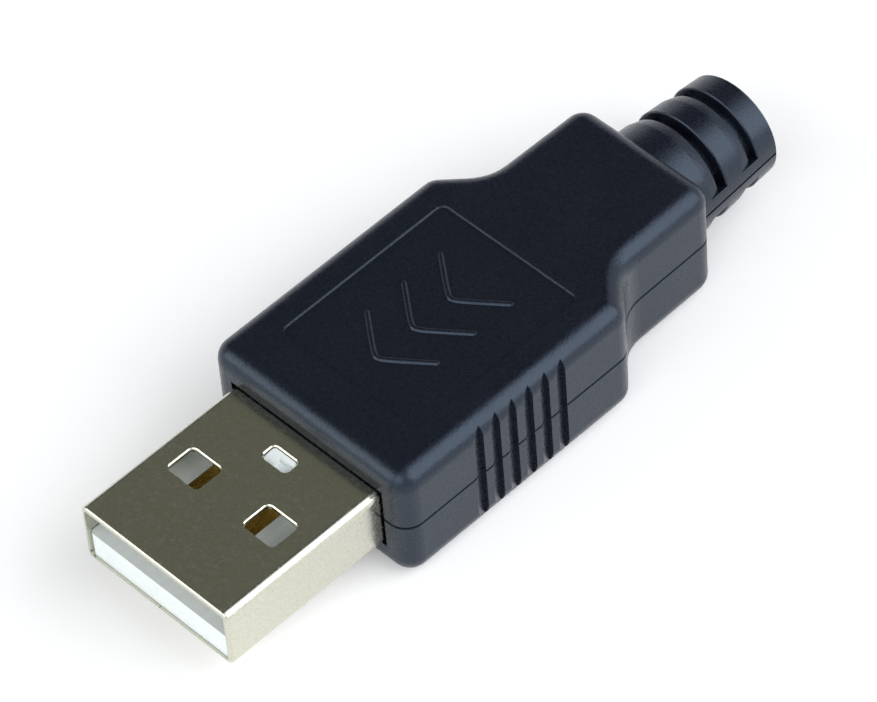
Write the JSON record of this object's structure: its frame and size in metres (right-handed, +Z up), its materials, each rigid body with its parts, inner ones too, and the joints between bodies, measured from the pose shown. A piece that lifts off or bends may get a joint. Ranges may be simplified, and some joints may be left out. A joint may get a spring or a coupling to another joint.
{
  "type": "usb-a plug",
  "caption": "Type A cable plug: folded metal shell with a moulded contact carrier and strip contacts in a two-part clip-together housing with a slotted cable tail.",
  "frame": {"origin": "centre of the shell's mouth, on the plug's mating face", "axes": "+X from the mouth along the plug to the cable tail, +Y across the plug, +Z up through the face with the sunken panel"},
  "size_m": [0.0477, 0.016, 0.0088],
  "materials": {
    "housing": "fine moulded satin",
    "shell": "bright nickel plate on sheet steel",
    "carrier": "smooth white moulding",
    "contacts": "gold flash"
  },
  "bodies": {
    "root": {"upper_housing": "housing", "lower_housing": "housing", "plug_shell": "shell", "contact_carrier": "carrier", "contact_power": "contacts", "contact_data_minus": "contacts", "contact_data_plus": "contacts", "contact_ground": "contacts"}
  },
  "joints": []
}
